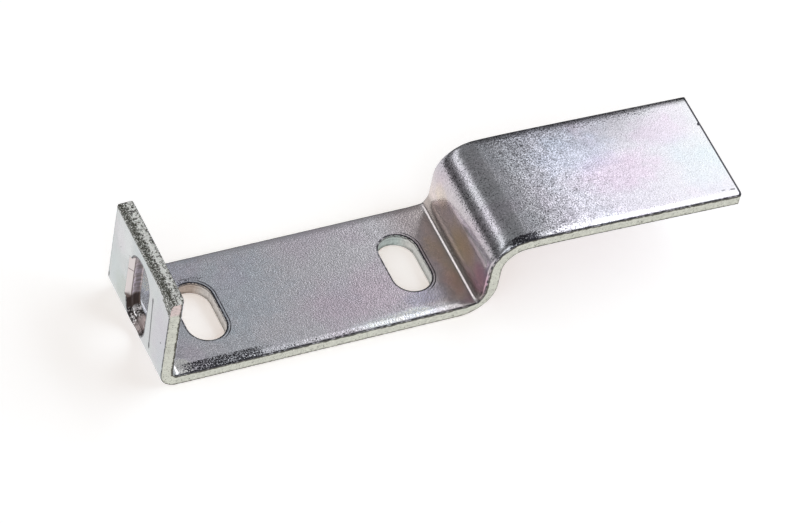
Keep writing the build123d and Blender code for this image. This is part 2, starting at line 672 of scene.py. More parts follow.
    @staticmethod
    def _rim_loop(
        start: np.ndarray, left: list[np.ndarray], right: list[np.ndarray], end: np.ndarray
    ) -> np.ndarray:
        """Join the four sides of the strip into one loop.

        Args:
            start: Indices across the strip's start.
            left: Indices along the left side, by stretch.
            right: Indices along the right side, by stretch.
            end: Indices across the strip's end.

        Returns:
            The loop: start, right side, end, left side back.
        """
        along_right = np.concatenate([part[1:] for part in right])
        along_left = np.concatenate([part[1:] for part in left])
        return np.concatenate((start, along_right, end[-2::-1], along_left[-2::-1]))

    def _build_wall(
        self, mesh: StripMesh, upper: np.ndarray, lower: np.ndarray, region: Region, outward: bool
    ) -> None:
        """Join the two faces' loops by a wall.

        Args:
            mesh: Collects the points and faces.
            upper: Loop on the upper face.
            lower: Loop on the lower face, point for point.
            region: Finish of the wall.
            outward: Whether the wall faces away from the loop's middle.
        """
        s = np.concatenate(mesh.s)[upper]
        y = np.concatenate(mesh.y)[upper]
        even = np.linspace(1.0, 0.0, self.steps.wall + 1)[1:-1]
        depth = np.sort(np.concatenate((even, self.steps.wall_near)))[::-1, None]
        rows = mesh.add_points(
            np.broadcast_to(s, (len(depth), len(s))).copy(),
            np.broadcast_to(y, (len(depth), len(s))).copy(),
            np.broadcast_to(depth, (len(depth), len(s))).copy(),
        )
        mesh.add_grid(np.vstack((upper[None, :], rows, lower[None, :])), region, outward, closed=True)

    def flat_mesh(self) -> StripMesh:
        """Build the strip's whole skin in the flat.

        Returns:
            The closed mesh: both faces, the walls of the slots and the outer wall.
        """
        mesh = StripMesh()
        upper = self._build_sheet(mesh, Sheet.UPPER)
        lower = self._build_sheet(mesh, Sheet.LOWER)
        regions = {str(2 * k + 1): slot.region for k, slot in enumerate(self.slots())}
        for name, region in regions.items():
            self._build_wall(mesh, upper[name], lower[name], region, outward=False)
        self._build_wall(mesh, upper["rim"], lower["rim"], Region.SHEARED, outward=True)
        return mesh

    def roughen_walls(
        self, s: np.ndarray, y: np.ndarray, depth: np.ndarray
    ) -> tuple[np.ndarray, np.ndarray]:
        """Set the broken part of every sheared wall back from its smooth land.

        With d the depth and land the smooth share, the wall moves into the metal by
        setback * past + roughness * past * noise, where past runs from 0 to 1 as d leaves the
        land, and all of it fades to 0 at the two faces.
        The punch entered the tab slot from the outer face and the other walls from the upper one.

        Args:
            s: Developed length of each point.
            y: Place across.
            depth: Depth, 0 to 1.

        Returns:
            The moved developed lengths and places across.
        """
        inside = (depth > 0.0) & (depth < 1.0)
        fade = np.clip(np.minimum(depth, 1.0 - depth) / self.wall_fade, 0.0, 1.0) * inside
        length, half = self.section.developed()[0]["plate"][1], self.width / 2
        away, through = 1.0 - depth, depth * self.section.thickness
        torn = 0.6 * smooth_noise(s + y, through, 0.45 * MM, 11)
        torn = torn + 0.4 * smooth_noise(s + y, through, 0.2 * MM, 12)
        waver = self.break_waver * smooth_noise(s + y, s - y, 2.2 * MM, 13)
        past = np.clip((away - self.shear_land - waver) / self.break_soft, 0.0, 1.0)
        inward = fade * (self.shear_setback * past + self.shear_roughness * past * (1 + torn))
        on_side = inside & (np.abs(np.abs(y) - half) < TINY)
        on_end = inside & (s > length - TINY)
        new_y = np.where(on_side, y - np.sign(y) * inward, y)
        new_s = np.where(on_end, s - inward, s)
        crop = smooth_noise(y, through, 0.5 * MM, 14)
        crop = 1.0 + 0.6 * (crop + 0.6 * smooth_noise(y, through, 0.25 * MM, 15))
        new_s = np.where(inside & (s < TINY), s + fade * self.crop_roughness * crop, new_s)
        for slot in self.slots():
            on_wall = inside & (np.abs(slot.distance(s, y)) < TINY)
            from_land = depth if slot.region is Region.TAB_SLOT else away
            past = np.clip((from_land - self.punch_land - waver) / self.break_soft, 0.0, 1.0)
            move = fade * (self.punch_setback * past + self.punch_roughness * past * torn)
            p, q = slot.own_axes(s, y)
            straight = (slot.length - slot.width) / 2
            p = p - np.clip(p, -straight, straight)
            size = np.maximum(np.hypot(p, q), 1e-9)
            ds, dy = (p, q) if slot.runs_along else (q, p)
            new_s = np.where(on_wall, new_s + move * ds / size, new_s)
            new_y = np.where(on_wall, new_y + move * dy / size, new_y)
        return new_s, new_y + self.tab_slot_facet(s, y, depth)

    def tab_slot_facet(self, s: np.ndarray, y: np.ndarray, depth: np.ndarray) -> np.ndarray:
        """Return how far points beside the tab slot move to open the slanted facet in its far side.

        At the outer face the wall moves by facet_width, at facet_depth by nothing, and between
        them evenly. Round the wall the move fades out over the ring of points outside it.

        Args:
            s: Developed length of each point.
            y: Place across.
            depth: Depth, 0 to 1.

        Returns:
            The move across.
        """
        slot = self.slots()[0]
        foot, top = (self.section.tab_rise - self.section.rise_to(h) for h in self.facet_heights)
        run = np.clip((s - top) / self.facet_ends, 0.0, 1.0)
        run = run * np.clip((foot - s) / self.facet_ends, 0.0, 1.0)
        slant = np.clip(1.0 - depth * self.section.thickness / self.facet_depth, 0.0, 1.0)
        gap = np.maximum(slot.distance(s, y), 0.0)
        near = np.clip(1.0 - gap / self.facet_reach, 0.0, 1.0)
        return self.facet_width * run * slant * near * (y > slot.across + self.facet_side)

    def sort_regions(
        self, s: np.ndarray, y: np.ndarray, depth: np.ndarray, region: np.ndarray
    ) -> np.ndarray:
        """Give the torn finish to the cropped end, its rolled edge and its rolled corner.

        Args:
            s: Developed length of each face's middle.
            y: Place across.
            depth: Depth, 0 to 1.
            region: Finish number of each face.

        Returns:
            The finish numbers with the torn ones put in.
        """
        down, across, _ = self.corner_facet
        facet = 1.0 - s / down - (y + self.width / 2) / across
        off_side = np.abs(y) < self.width / 2 - self.crop_side
        torn = (region == Region.SHEARED.value) & (s < self.crop_band) & off_side
        rolled = (s < self.crop_reach) | (facet > 0.0)
        torn |= (region == Region.PLATED.value) & (depth < self.crop_depth) & rolled
        return np.where(torn, Region.CROPPED.value, region)

    def shape_edges(self, s: np.ndarray, y: np.ndarray, depth: np.ndarray) -> np.ndarray:
        """Return the depth through the strip after shearing, punching and cropping.

        The upper face is drawn down by the edge roll at both long edges, at the plate's end and
        round every slot; the lower face keeps a small burr rounding, and a broad roll where the
        tab's end was cropped. On a wall the depth runs evenly between the two drawn edges.

        Args:
            s: Developed length of each point.
            y: Place across.
            depth: Depth in the flat, 0 to 1.

        Returns:
            The new depths.
        """
        t = self.section.thickness
        length = self.section.developed()[0]["plate"][1]
        side = self.width / 2 - np.abs(y)
        top = edge_roll(side, self.edge_reach, np.where(y < 0.0, self.edge_drop, self.far_drop))
        top = np.maximum(top, edge_roll(length - s, self.end_reach, self.end_drop))
        top = np.maximum(top, edge_roll(s, self.burr_reach, self.burr_reach))
        bottom = edge_roll(np.minimum(side, length - s), self.burr_reach, self.burr_reach)
        down, across, deep = self.corner_facet
        facet = np.clip(1.0 - s / down - (y + self.width / 2) / across, 0.0, 1.0)
        bottom = np.maximum(bottom, deep * facet + edge_roll(s, self.crop_reach, self.crop_drop))
        for slot in self.slots():
            gap = np.maximum(slot.distance(s, y), 0.0)
            top = np.maximum(top, edge_roll(gap, self.slot_reach, self.slot_drop))
            bottom = np.maximum(bottom, edge_roll(gap, self.burr_reach, self.burr_reach))
        return bottom / t + depth * (1.0 - (bottom + top) / t)

    def rim_gap(self, s: np.ndarray, y: np.ndarray) -> np.ndarray:
        """Return the distance from the strip's outline, ends and sides."""
        length = self.section.developed()[0]["plate"][1]
        return np.minimum(np.minimum(s, length - s), self.width / 2 - np.abs(y))

    def slot_gap(self, s: np.ndarray, y: np.ndarray) -> np.ndarray:
        """Return the distance from the nearest slot's wall."""
        return np.min([np.maximum(slot.distance(s, y), 0.0) for slot in self.slots()], axis=0)

    def round_corners(self, s: np.ndarray, y: np.ndarray) -> tuple[np.ndarray, np.ndarray]:
        """Round the strip's four corners in plan.

        Inside the corner square, u and v run from 0 to 1 towards the corner, and become
        u sqrt(1 - v^2 / 2) and v sqrt(1 - u^2 / 2), which carries the square onto a quarter disc.

        Args:
            s: Developed length of each point.
            y: Place across.

        Returns:
            The moved developed lengths and places across.
        """
        length, half = self.section.developed()[0]["plate"][1], self.width / 2
        r = np.where(s < length / 2, self.tab_corner_radius, self.end_corner_radius)
        near_end = np.minimum(s, length - s)
        u = np.clip(1.0 - near_end / r, 0.0, 1.0)
        v = np.clip(1.0 - (half - np.abs(y)) / r, 0.0, 1.0)
        shift_s = r * (u - u * np.sqrt(1.0 - v * v / 2))
        shift_y = r * (v - v * np.sqrt(1.0 - u * u / 2))
        inward = np.where(s < length / 2, 1.0, -1.0)
        return s + inward * shift_s, y - np.sign(y) * shift_y

    def fold(self, s: np.ndarray, y: np.ndarray, depth: np.ndarray) -> np.ndarray:
        """Fold the flat strip onto the section.

        A point lies at (1 - depth) lower(s) + depth upper(s), where both paths are read at the
        developed length s, and keeps its place across the strip.

        Args:
            s: Developed length of each point.
            y: Place across.
            depth: Depth, 0 to 1.

        Returns:
            The points, x, y and z.
        """
        _, at, lower, upper = self.section.developed()
        paths = [np.interp(s, at, path[:, k]) for path in (lower, upper) for k in (0, 1)]
        x = (1 - depth) * paths[0] + depth * paths[2]
        z = (1 - depth) * paths[1] + depth * paths[3]
        return np.column_stack((x, y, z))

    def build(self) -> bpy.types.Object:
        """Build the dressed bracket.

        Returns:
            The bracket's object. Its vertex attributes serve the finishes, in metres: "strip"
            holds the developed length from the base's middle, the place across and the depth,
            "rim" the distance from the strip's outline and "slot_rim" from the nearest slot.
        """
        mesh = self.flat_mesh()
        s, y, depth = (np.concatenate(part) for part in (mesh.s, mesh.y, mesh.depth))
        rough_s, rough_y = self.roughen_walls(s, y, depth)
        depth = self.shape_edges(s, y, depth)
        s, y = self.round_corners(rough_s, rough_y)
        points = self.fold(s, y, depth)
        faces = np.vstack(mesh.faces)
        middles = (part[faces].mean(axis=1) for part in (s, y, depth))
        regions = self.sort_regions(*middles, np.concatenate(mesh.regions))
        data = bpy.data.meshes.new("bracket_skin")
        data.from_pydata(points, [], faces.tolist())
        data.update()
        data.polygons.foreach_set("use_smooth", np.ones(len(faces), bool))
        data.polygons.foreach_set("material_index", regions.astype(np.int32))
        start = self.section.developed()[0]["base"][0] - self.section.fold_axis[0]
        strip = data.attributes.new("strip", "FLOAT_VECTOR", "POINT")
        values = np.column_stack((s - start, y, depth * self.section.thickness))
        strip.data.foreach_set("vector", values.ravel())
        for name, gap in (("rim", self.rim_gap(s, y)), ("slot_rim", self.slot_gap(s, y))):
            data.attributes.new(name, "FLOAT", "POINT").data.foreach_set("value", gap)
        data.validate()
        piece = bpy.data.objects.new("bracket_skin", data)
        bpy.context.scene.collection.objects.link(piece)
        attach(piece, BODY)
        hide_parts(NODE)
        log.info("bracket skin: %d points, %d faces", len(points), len(faces))
        return piece


# ------------------------------------------------------------------------------- finishes
Socket = bpy.types.NodeSocket
Value = float | tuple[float, ...] | Socket
Color = tuple[float, float, float]
Span = tuple[float, float]
Levels = tuple[float, float, float, float]
Stops = tuple[tuple[float, float | Color], ...]


@dataclass(frozen=True)
class Noise:
    """A noise over the strip: its cycles in a millimetre, its detail and how it is stretched."""

    scale: float
    detail: float = 2.0
    roughness: float = 0.5
    stretch: tuple[float, float, float] | None = None


@dataclass
class Bench:
    """Adds nodes to a tree and joins them."""

    tree: bpy.types.NodeTree

    def node(self, kind: str, **properties: object) -> bpy.types.Node:
        """Add a node.

        Args:
            kind: Blender's name for the kind of node.
            properties: The node's own settings.

        Returns:
            The node.
        """
        made = self.tree.nodes.new(kind)
        for name, value in properties.items():
            setattr(made, name, value)
        return made

    def feed(self, socket: Socket, value: Value) -> None:
        """Join a socket to another one, or set it to a plain value.

        Args:
            socket: The input socket.
            value: An output socket, a number or a colour.
        """
        if isinstance(value, bpy.types.NodeSocket):
            self.tree.links.new(value, socket)
        elif isinstance(value, tuple) and socket.type == "RGBA":
            socket.default_value = (*value, 1.0)
        else:
            socket.default_value = value

    def math(self, operation: str, *values: Value, clamp: bool = False) -> Socket:
        """Add a math operation.

        Args:
            operation: Blender's name for it.
            values: Its inputs.
            clamp: Whether the result is kept between 0 and 1.

        Returns:
            The result.
        """
        made = self.node("ShaderNodeMath", operation=operation, use_clamp=clamp)
        for socket, value in zip(made.inputs, values):
            self.feed(socket, value)
        return made.outputs[0]

    def step(self, value: Value, start: float, end: float, low: float = 0.0, high: float = 1.0) -> Socket:
        """Add a smooth step.

        Args:
            value: What the step is read at.
            start: Where it begins.
            end: Where it is done.
            low: Its level before start.
            high: Its level past end.

        Returns:
            The level.
        """
        made = self.node("ShaderNodeMapRange", interpolation_type="SMOOTHSTEP")
        names = ("Value", "From Min", "From Max", "To Min", "To Max")
        for name, given in zip(names, (value, start, end, low, high)):
            self.feed(made.inputs[name], given)
        return made.outputs[0]

    def fall(self, value: Value, start: float, end: float) -> Socket:
        """Return 1 before start and a smooth fall to 0 at end."""
        return self.step(value, start, end, 1.0, 0.0)

    def bump_band(self, value: Value, start: float, end: float, soft: float) -> Socket:
        """Add a band with soft ends.

        Args:
            value: What the band is read at.
            start: Where it begins.
            end: Where it stops.
            soft: How far each end fades to both sides.

        Returns:
            1 inside the band and 0 outside.
        """
        rise = self.step(value, start - soft, start + soft)
        return self.math("MULTIPLY", rise, self.fall(value, end - soft, end + soft))

    def highest(self, *values: Value) -> Value:
        """Return the highest of some values."""
        return reduce(lambda a, b: self.math("MAXIMUM", a, b), values)

    def noise(self, vector: Socket, noise: Noise) -> Socket:
        """Add a noise.

        Args:
            vector: The place.
            noise: The noise's numbers.

        Returns:
            The noise, between 0 and 1.
        """
        made = self.node("ShaderNodeTexNoise", noise_dimensions="3D")
        place = self.stretch(vector, noise.stretch) if noise.stretch else vector
        names = ("Vector", "Scale", "Detail", "Roughness")
        for name, given in zip(names, (place, noise.scale, noise.detail, noise.roughness)):
            self.feed(made.inputs[name], given)
        return made.outputs["Fac"]

    def swing(self, noise: Socket, reach: float) -> Socket:
        """Return a noise turned into a swing from -reach to reach."""
        return self.step(noise, *UNEVEN, -reach, reach)

    def blend(self, factor: Value, a: Value, b: Value, mode: str = "MIX") -> Socket:
        """Blend two colours.

        Args:
            factor: How much of b shows.
            a: The first colour.
            b: The second colour.
            mode: Blender's name for the way they blend.

        Returns:
            The blended colour.
        """
        made = self.node("ShaderNodeMix", data_type="RGBA", blend_type=mode)
        for number, value in ((0, factor), (6, a), (7, b)):
            self.feed(made.inputs[number], value)
        return made.outputs[2]

    def shade(
        self, color: Value, noise: Socket, gain: Value, level: Value = 1.0, middle: float = 0.5
    ) -> Socket:
        """Make a colour lighter and darker by a noise.

        Args:
            color: The colour.
            noise: The noise.
            gain: How strongly it shades.
            level: What the colour is multiplied by where the noise is at its middle.
            middle: The noise's middle.

        Returns:
            The colour times (noise - middle) gain + level.
        """
        amount = self.math("MULTIPLY_ADD", self.math("SUBTRACT", noise, middle), gain, level)
        return self.blend(1.0, color, amount, "MULTIPLY")

    def ramp(self, value: Socket, stops: Stops) -> Socket:
        """Return a colour or number that runs through stops.

        Args:
            value: What the ramp is read at.
            stops: Places with their colour or number; the first two are the ramp's ends.

        Returns:
            The colour, or a grey that holds the number.
        """
        made = self.node("ShaderNodeValToRGB")
        start, length = stops[0][0], stops[1][0] - stops[0][0]
        scale = max(1.0, *(float(np.max(level)) for _, level in stops))
        elements = made.color_ramp.elements
        for number, (where, level) in enumerate(stops):
            stop = elements[number] if number < 2 else elements.new((where - start) / length)
            stop.color = (*(np.ones(3) * level / scale), 1.0)
        self.feed(made.inputs[0], self.math("DIVIDE", self.math("SUBTRACT", value, start), length))
        return self.stretch(made.outputs[0], (scale, scale, scale))

    def stretch(self, vector: Socket, scale: tuple[float, float, float]) -> Socket:
        """Multiply a vector by a scale for each part.

        Args:
            vector: The vector.
            scale: The three scales.

        Returns:
            The stretched vector.
        """
        made = self.node("ShaderNodeVectorMath", operation="MULTIPLY")
        self.feed(made.inputs[0], vector)
        made.inputs[1].default_value = scale
        return made.outputs[0]

    def group(self, tree: bpy.types.NodeTree, **given: Value) -> bpy.types.Node:
        """Add a group node.

        Args:
            tree: The group.
            given: Its inputs by name; each underscore stands for a space.

        Returns:
            The node.
        """
        made = self.node("ShaderNodeGroup", node_tree=tree)
        for name, value in given.items():
            self.feed(made.inputs[name.replace("_", " ")], value)
        return made

    def bump(self, height: Socket, distance: float) -> Socket:
        """Raise a surface in relief.

        Args:
            height: The relief, between 0 and 1.
            distance: How high 1 stands, in metres.

        Returns:
            The normal.
        """
        made = self.node("ShaderNodeBump")
        made.inputs["Strength"].default_value = 1.0
        made.inputs["Distance"].default_value = distance
        self.feed(made.inputs["Height"], height)
        return made.outputs["Normal"]


def new_group(
    name: str, inputs: dict[str, tuple[str, Value]], outputs: dict[str, str]
) -> tuple[bpy.types.NodeTree, Bench, dict[str, Socket], bpy.types.Node]:
    """Start a shader node group.

    Args:
        name: The group's name.
        inputs: Kind and first value of each input.
        outputs: Kind of each output.

    Returns:
        The tree, a bench on it, its inputs' sockets inside and its output node.
    """
    tree = bpy.data.node_groups.new(name, "ShaderNodeTree")
    for label, (kind, value) in inputs.items():
        socket = tree.interface.new_socket(label, in_out="INPUT", socket_type=f"NodeSocket{kind}")
        if kind != "Vector":
            socket.default_value = (*value, 1.0) if isinstance(value, tuple) else value
    for label, kind in outputs.items():
        tree.interface.new_socket(label, in_out="OUTPUT", socket_type=f"NodeSocket{kind}")
    bench = Bench(tree)
    entry, end = bench.node("NodeGroupInput"), bench.node("NodeGroupOutput")
    return tree, bench, {label: entry.outputs[label] for label in inputs}, end


@dataclass
class Effects:
    """The shader node groups that the finishes share."""

    fine_grain: Noise = Noise(2.3, 2.0, 0.6)
    coarse_grain: Noise = Noise(0.45)
    tint_patches: Noise = Noise(0.055, 2.0, 0.55)
    tint_hues: tuple[tuple[float, Color], ...] = ((0.0, (1.0, 0.89, 0.97)), (31.0, (0.91, 0.99, 1.0)))
    tint_span: Span = (0.48, 0.64)
    speck_noise: Noise = Noise(2.8, 2.0, 0.65)
    speck_level: float = 0.71
    speck_fall: float = 0.26
    speck_contrast: float = 14.0
    torn_noise: Noise = Noise(2.5, 3.0, 0.7)
    torn_contrast: float = 11.0
    place: bpy.types.NodeTree = field(init=False)
    grain: bpy.types.NodeTree = field(init=False)
    tint: bpy.types.NodeTree = field(init=False)
    specks: bpy.types.NodeTree = field(init=False)
    fracture: bpy.types.NodeTree = field(init=False)

    def __post_init__(self) -> None:
        """Build every group."""
        self.place = self._build_place()
        self.grain = self._build_grain()
        self.tint = self._build_tint()
        self.specks = self._build_specks()
        self.fracture = self._build_fracture()

    def _build_place(self) -> bpy.types.NodeTree:
        """Build the group that reads the place in the strip, in millimetres.

        Returns:
            The group.
        """
        outputs = {"Place": "Vector", "Along": "Float", "Across": "Float", "Depth": "Float"}
        outputs |= {"Rim": "Float", "Slot Rim": "Float"}
        tree, bench, _, end = new_group("strip_place", {}, outputs)
        strip = bench.node("ShaderNodeAttribute", attribute_name="strip").outputs["Vector"]
        place = bench.stretch(strip, (1 / MM, 1 / MM, 1 / MM))
        parts = bench.node("ShaderNodeSeparateXYZ")
        bench.feed(parts.inputs[0], place)
        for name, socket in zip(("Place", "Along", "Across", "Depth"), (place, *parts.outputs)):
            bench.feed(end.inputs[name], socket)
        for name, attribute in (("Rim", "rim"), ("Slot Rim", "slot_rim")):
            gap = bench.node("ShaderNodeAttribute", attribute_name=attribute).outputs["Fac"]
            bench.feed(end.inputs[name], bench.math("MULTIPLY", gap, 1 / MM))
        return tree

    def _build_grain(self) -> bpy.types.NodeTree:
        """Build the fine orange-peel grain of rolled and plated steel.

        Returns:
            The group, which puts out the grain's height.
        """
        tree, bench, given, end = new_group(
            "zinc_grain", {"Place": ("Vector", 0.0), "Coarse Share": ("Float", 0.35)}, {"Height": "Float"}
        )
        fine = bench.noise(given["Place"], self.fine_grain)
        coarse = bench.noise(given["Place"], self.coarse_grain)
        share = bench.math("MULTIPLY", coarse, given["Coarse Share"])
        bench.feed(end.inputs["Height"], bench.math("ADD", fine, share))
        return tree

    def _build_tint(self) -> bpy.types.NodeTree:
        """Build the faint rainbow patches of passivated zinc over a plain colour.

        Returns:
            The group, which puts out the tinted colour.
        """
        inputs = {"Place": ("Vector", 0.0), "Color": ("Color", (0.66, 0.65, 0.71))}
        inputs |= {"Strength": ("Float", 1.0)}
        tree, bench, given, end = new_group("zinc_tint", inputs, {"Color": "Color"})
        color = given["Color"]
        for offset, hue in self.tint_hues:
            moved = bench.node("ShaderNodeVectorMath", operation="ADD")
            bench.feed(moved.inputs[0], given["Place"])
            moved.inputs[1].default_value = (offset, offset, 0.0)
            patch = bench.step(bench.noise(moved.outputs[0], self.tint_patches), *self.tint_span)
            amount = bench.math("MULTIPLY", patch, given["Strength"])
            color = bench.blend(amount, color, hue, "MULTIPLY")
        bench.feed(end.inputs["Color"], color)
        return tree

    def _build_specks(self) -> bpy.types.NodeTree:
        """Build small dark specks, which stand where a noise is over a level that Density lowers.

        Returns:
            The group, which puts out the specks' mask.
        """
        inputs = {"Place": ("Vector", 0.0), "Density": ("Float", 0.5)}
        tree, bench, given, end = new_group("dark_specks", inputs, {"Mask": "Float"})
        noise = bench.noise(given["Place"], self.speck_noise)
        level = bench.math("MULTIPLY_ADD", given["Density"], -self.speck_fall, self.speck_level)
        over = bench.math("SUBTRACT", noise, level)
        bench.feed(end.inputs["Mask"], bench.math("MULTIPLY", over, self.speck_contrast, clamp=True))
        return tree

    def _build_fracture(self) -> bpy.types.NodeTree:
        """Build broken, torn steel, in grains between a dark and a bright colour.

        Returns:
            The group, which puts out the colour and the height.
        """
        tree, bench, given, end = new_group(
            "torn_steel",
            {
                "Place": ("Vector", 0.0),
                "Dark": ("Color", (0.10, 0.09, 0.08)),
                "Bright": ("Color", (0.92, 0.93, 0.90)),
                "Brightness": ("Float", 0.5),
            },
            {"Color": "Color", "Height": "Float"},
        )
        rough = bench.noise(given["Place"], self.torn_noise)
        over = bench.math("SUBTRACT", rough, bench.math("SUBTRACT", 1.0, given["Brightness"]))
        share = bench.math("MULTIPLY_ADD", over, self.torn_contrast, 0.5, clamp=True)
        bench.feed(end.inputs["Color"], bench.blend(share, given["Dark"], given["Bright"]))
        bench.feed(end.inputs["Height"], rough)
        return tree


@dataclass(frozen=True)
class Place:
    """The sockets of the place in the strip: the point, its parts and its gaps to the rims."""

    point: Socket
    along: Socket
    across: Socket
    depth: Socket
    rim: Socket
    slot_rim: Socket


@dataclass(frozen=True)
class Finish(ABC):
    """A metal finish, with its relief in metres; each kind makes its own colour and relief."""

    name: str
    roughness: float
    relief: float
    metallic: float = 1.0

    def build(self, effects: Effects) -> bpy.types.Material:
        """Build the material: its plain numbers, its colour and its relief.

        Args:
            effects: The shared groups.

        Returns:
            The material.
        """
        material = bpy.data.materials.new(self.name)
        material.use_nodes = True
        shader = material.node_tree.nodes["Principled BSDF"]
        shader.inputs["Metallic"].default_value = self.metallic
        shader.inputs["Roughness"].default_value = self.roughness
        bench = Bench(material.node_tree)
        place = Place(*bench.group(effects.place).outputs)
        color, height = self.dress(bench, place, effects)
        bench.feed(shader.inputs["Base Color"], color)
        bench.feed(shader.inputs["Normal"], bench.bump(height, self.relief))
        return material

    @abstractmethod
    def dress(self, bench: Bench, place: Place, effects: Effects) -> tuple[Socket, Socket]:
        """Make the finish's own nodes.

        Args:
            bench: The material's bench.
            place: The place in the strip.
            effects: The shared groups.

        Returns:
            The colour and the height of the relief.
        """


@dataclass(frozen=True)
class SpeckBand:
    """A stretch of a long edge with dark specks: where it runs, how far in it goes, how dense."""

    start: float
    end: float
    edge: float
    inner: float
    outer: float
    density: float
    soft: float = 4.0
    fade: float = 0.5


@dataclass(frozen=True)
class Patch:
    """A soft-edged patch of colour: its place, its half sizes and the hue laid over the tone."""

    along: float
    across: float
    half_along: float
    half_across: float
    hue: Color


@dataclass(frozen=True)
class Mark:
    """A small dark mark on a rolled face: its place, its half sizes, its slant and its side."""

    along: float
    across: float
    half_along: float
    half_across: float
    slant: float = 0.0
    upper: bool = True


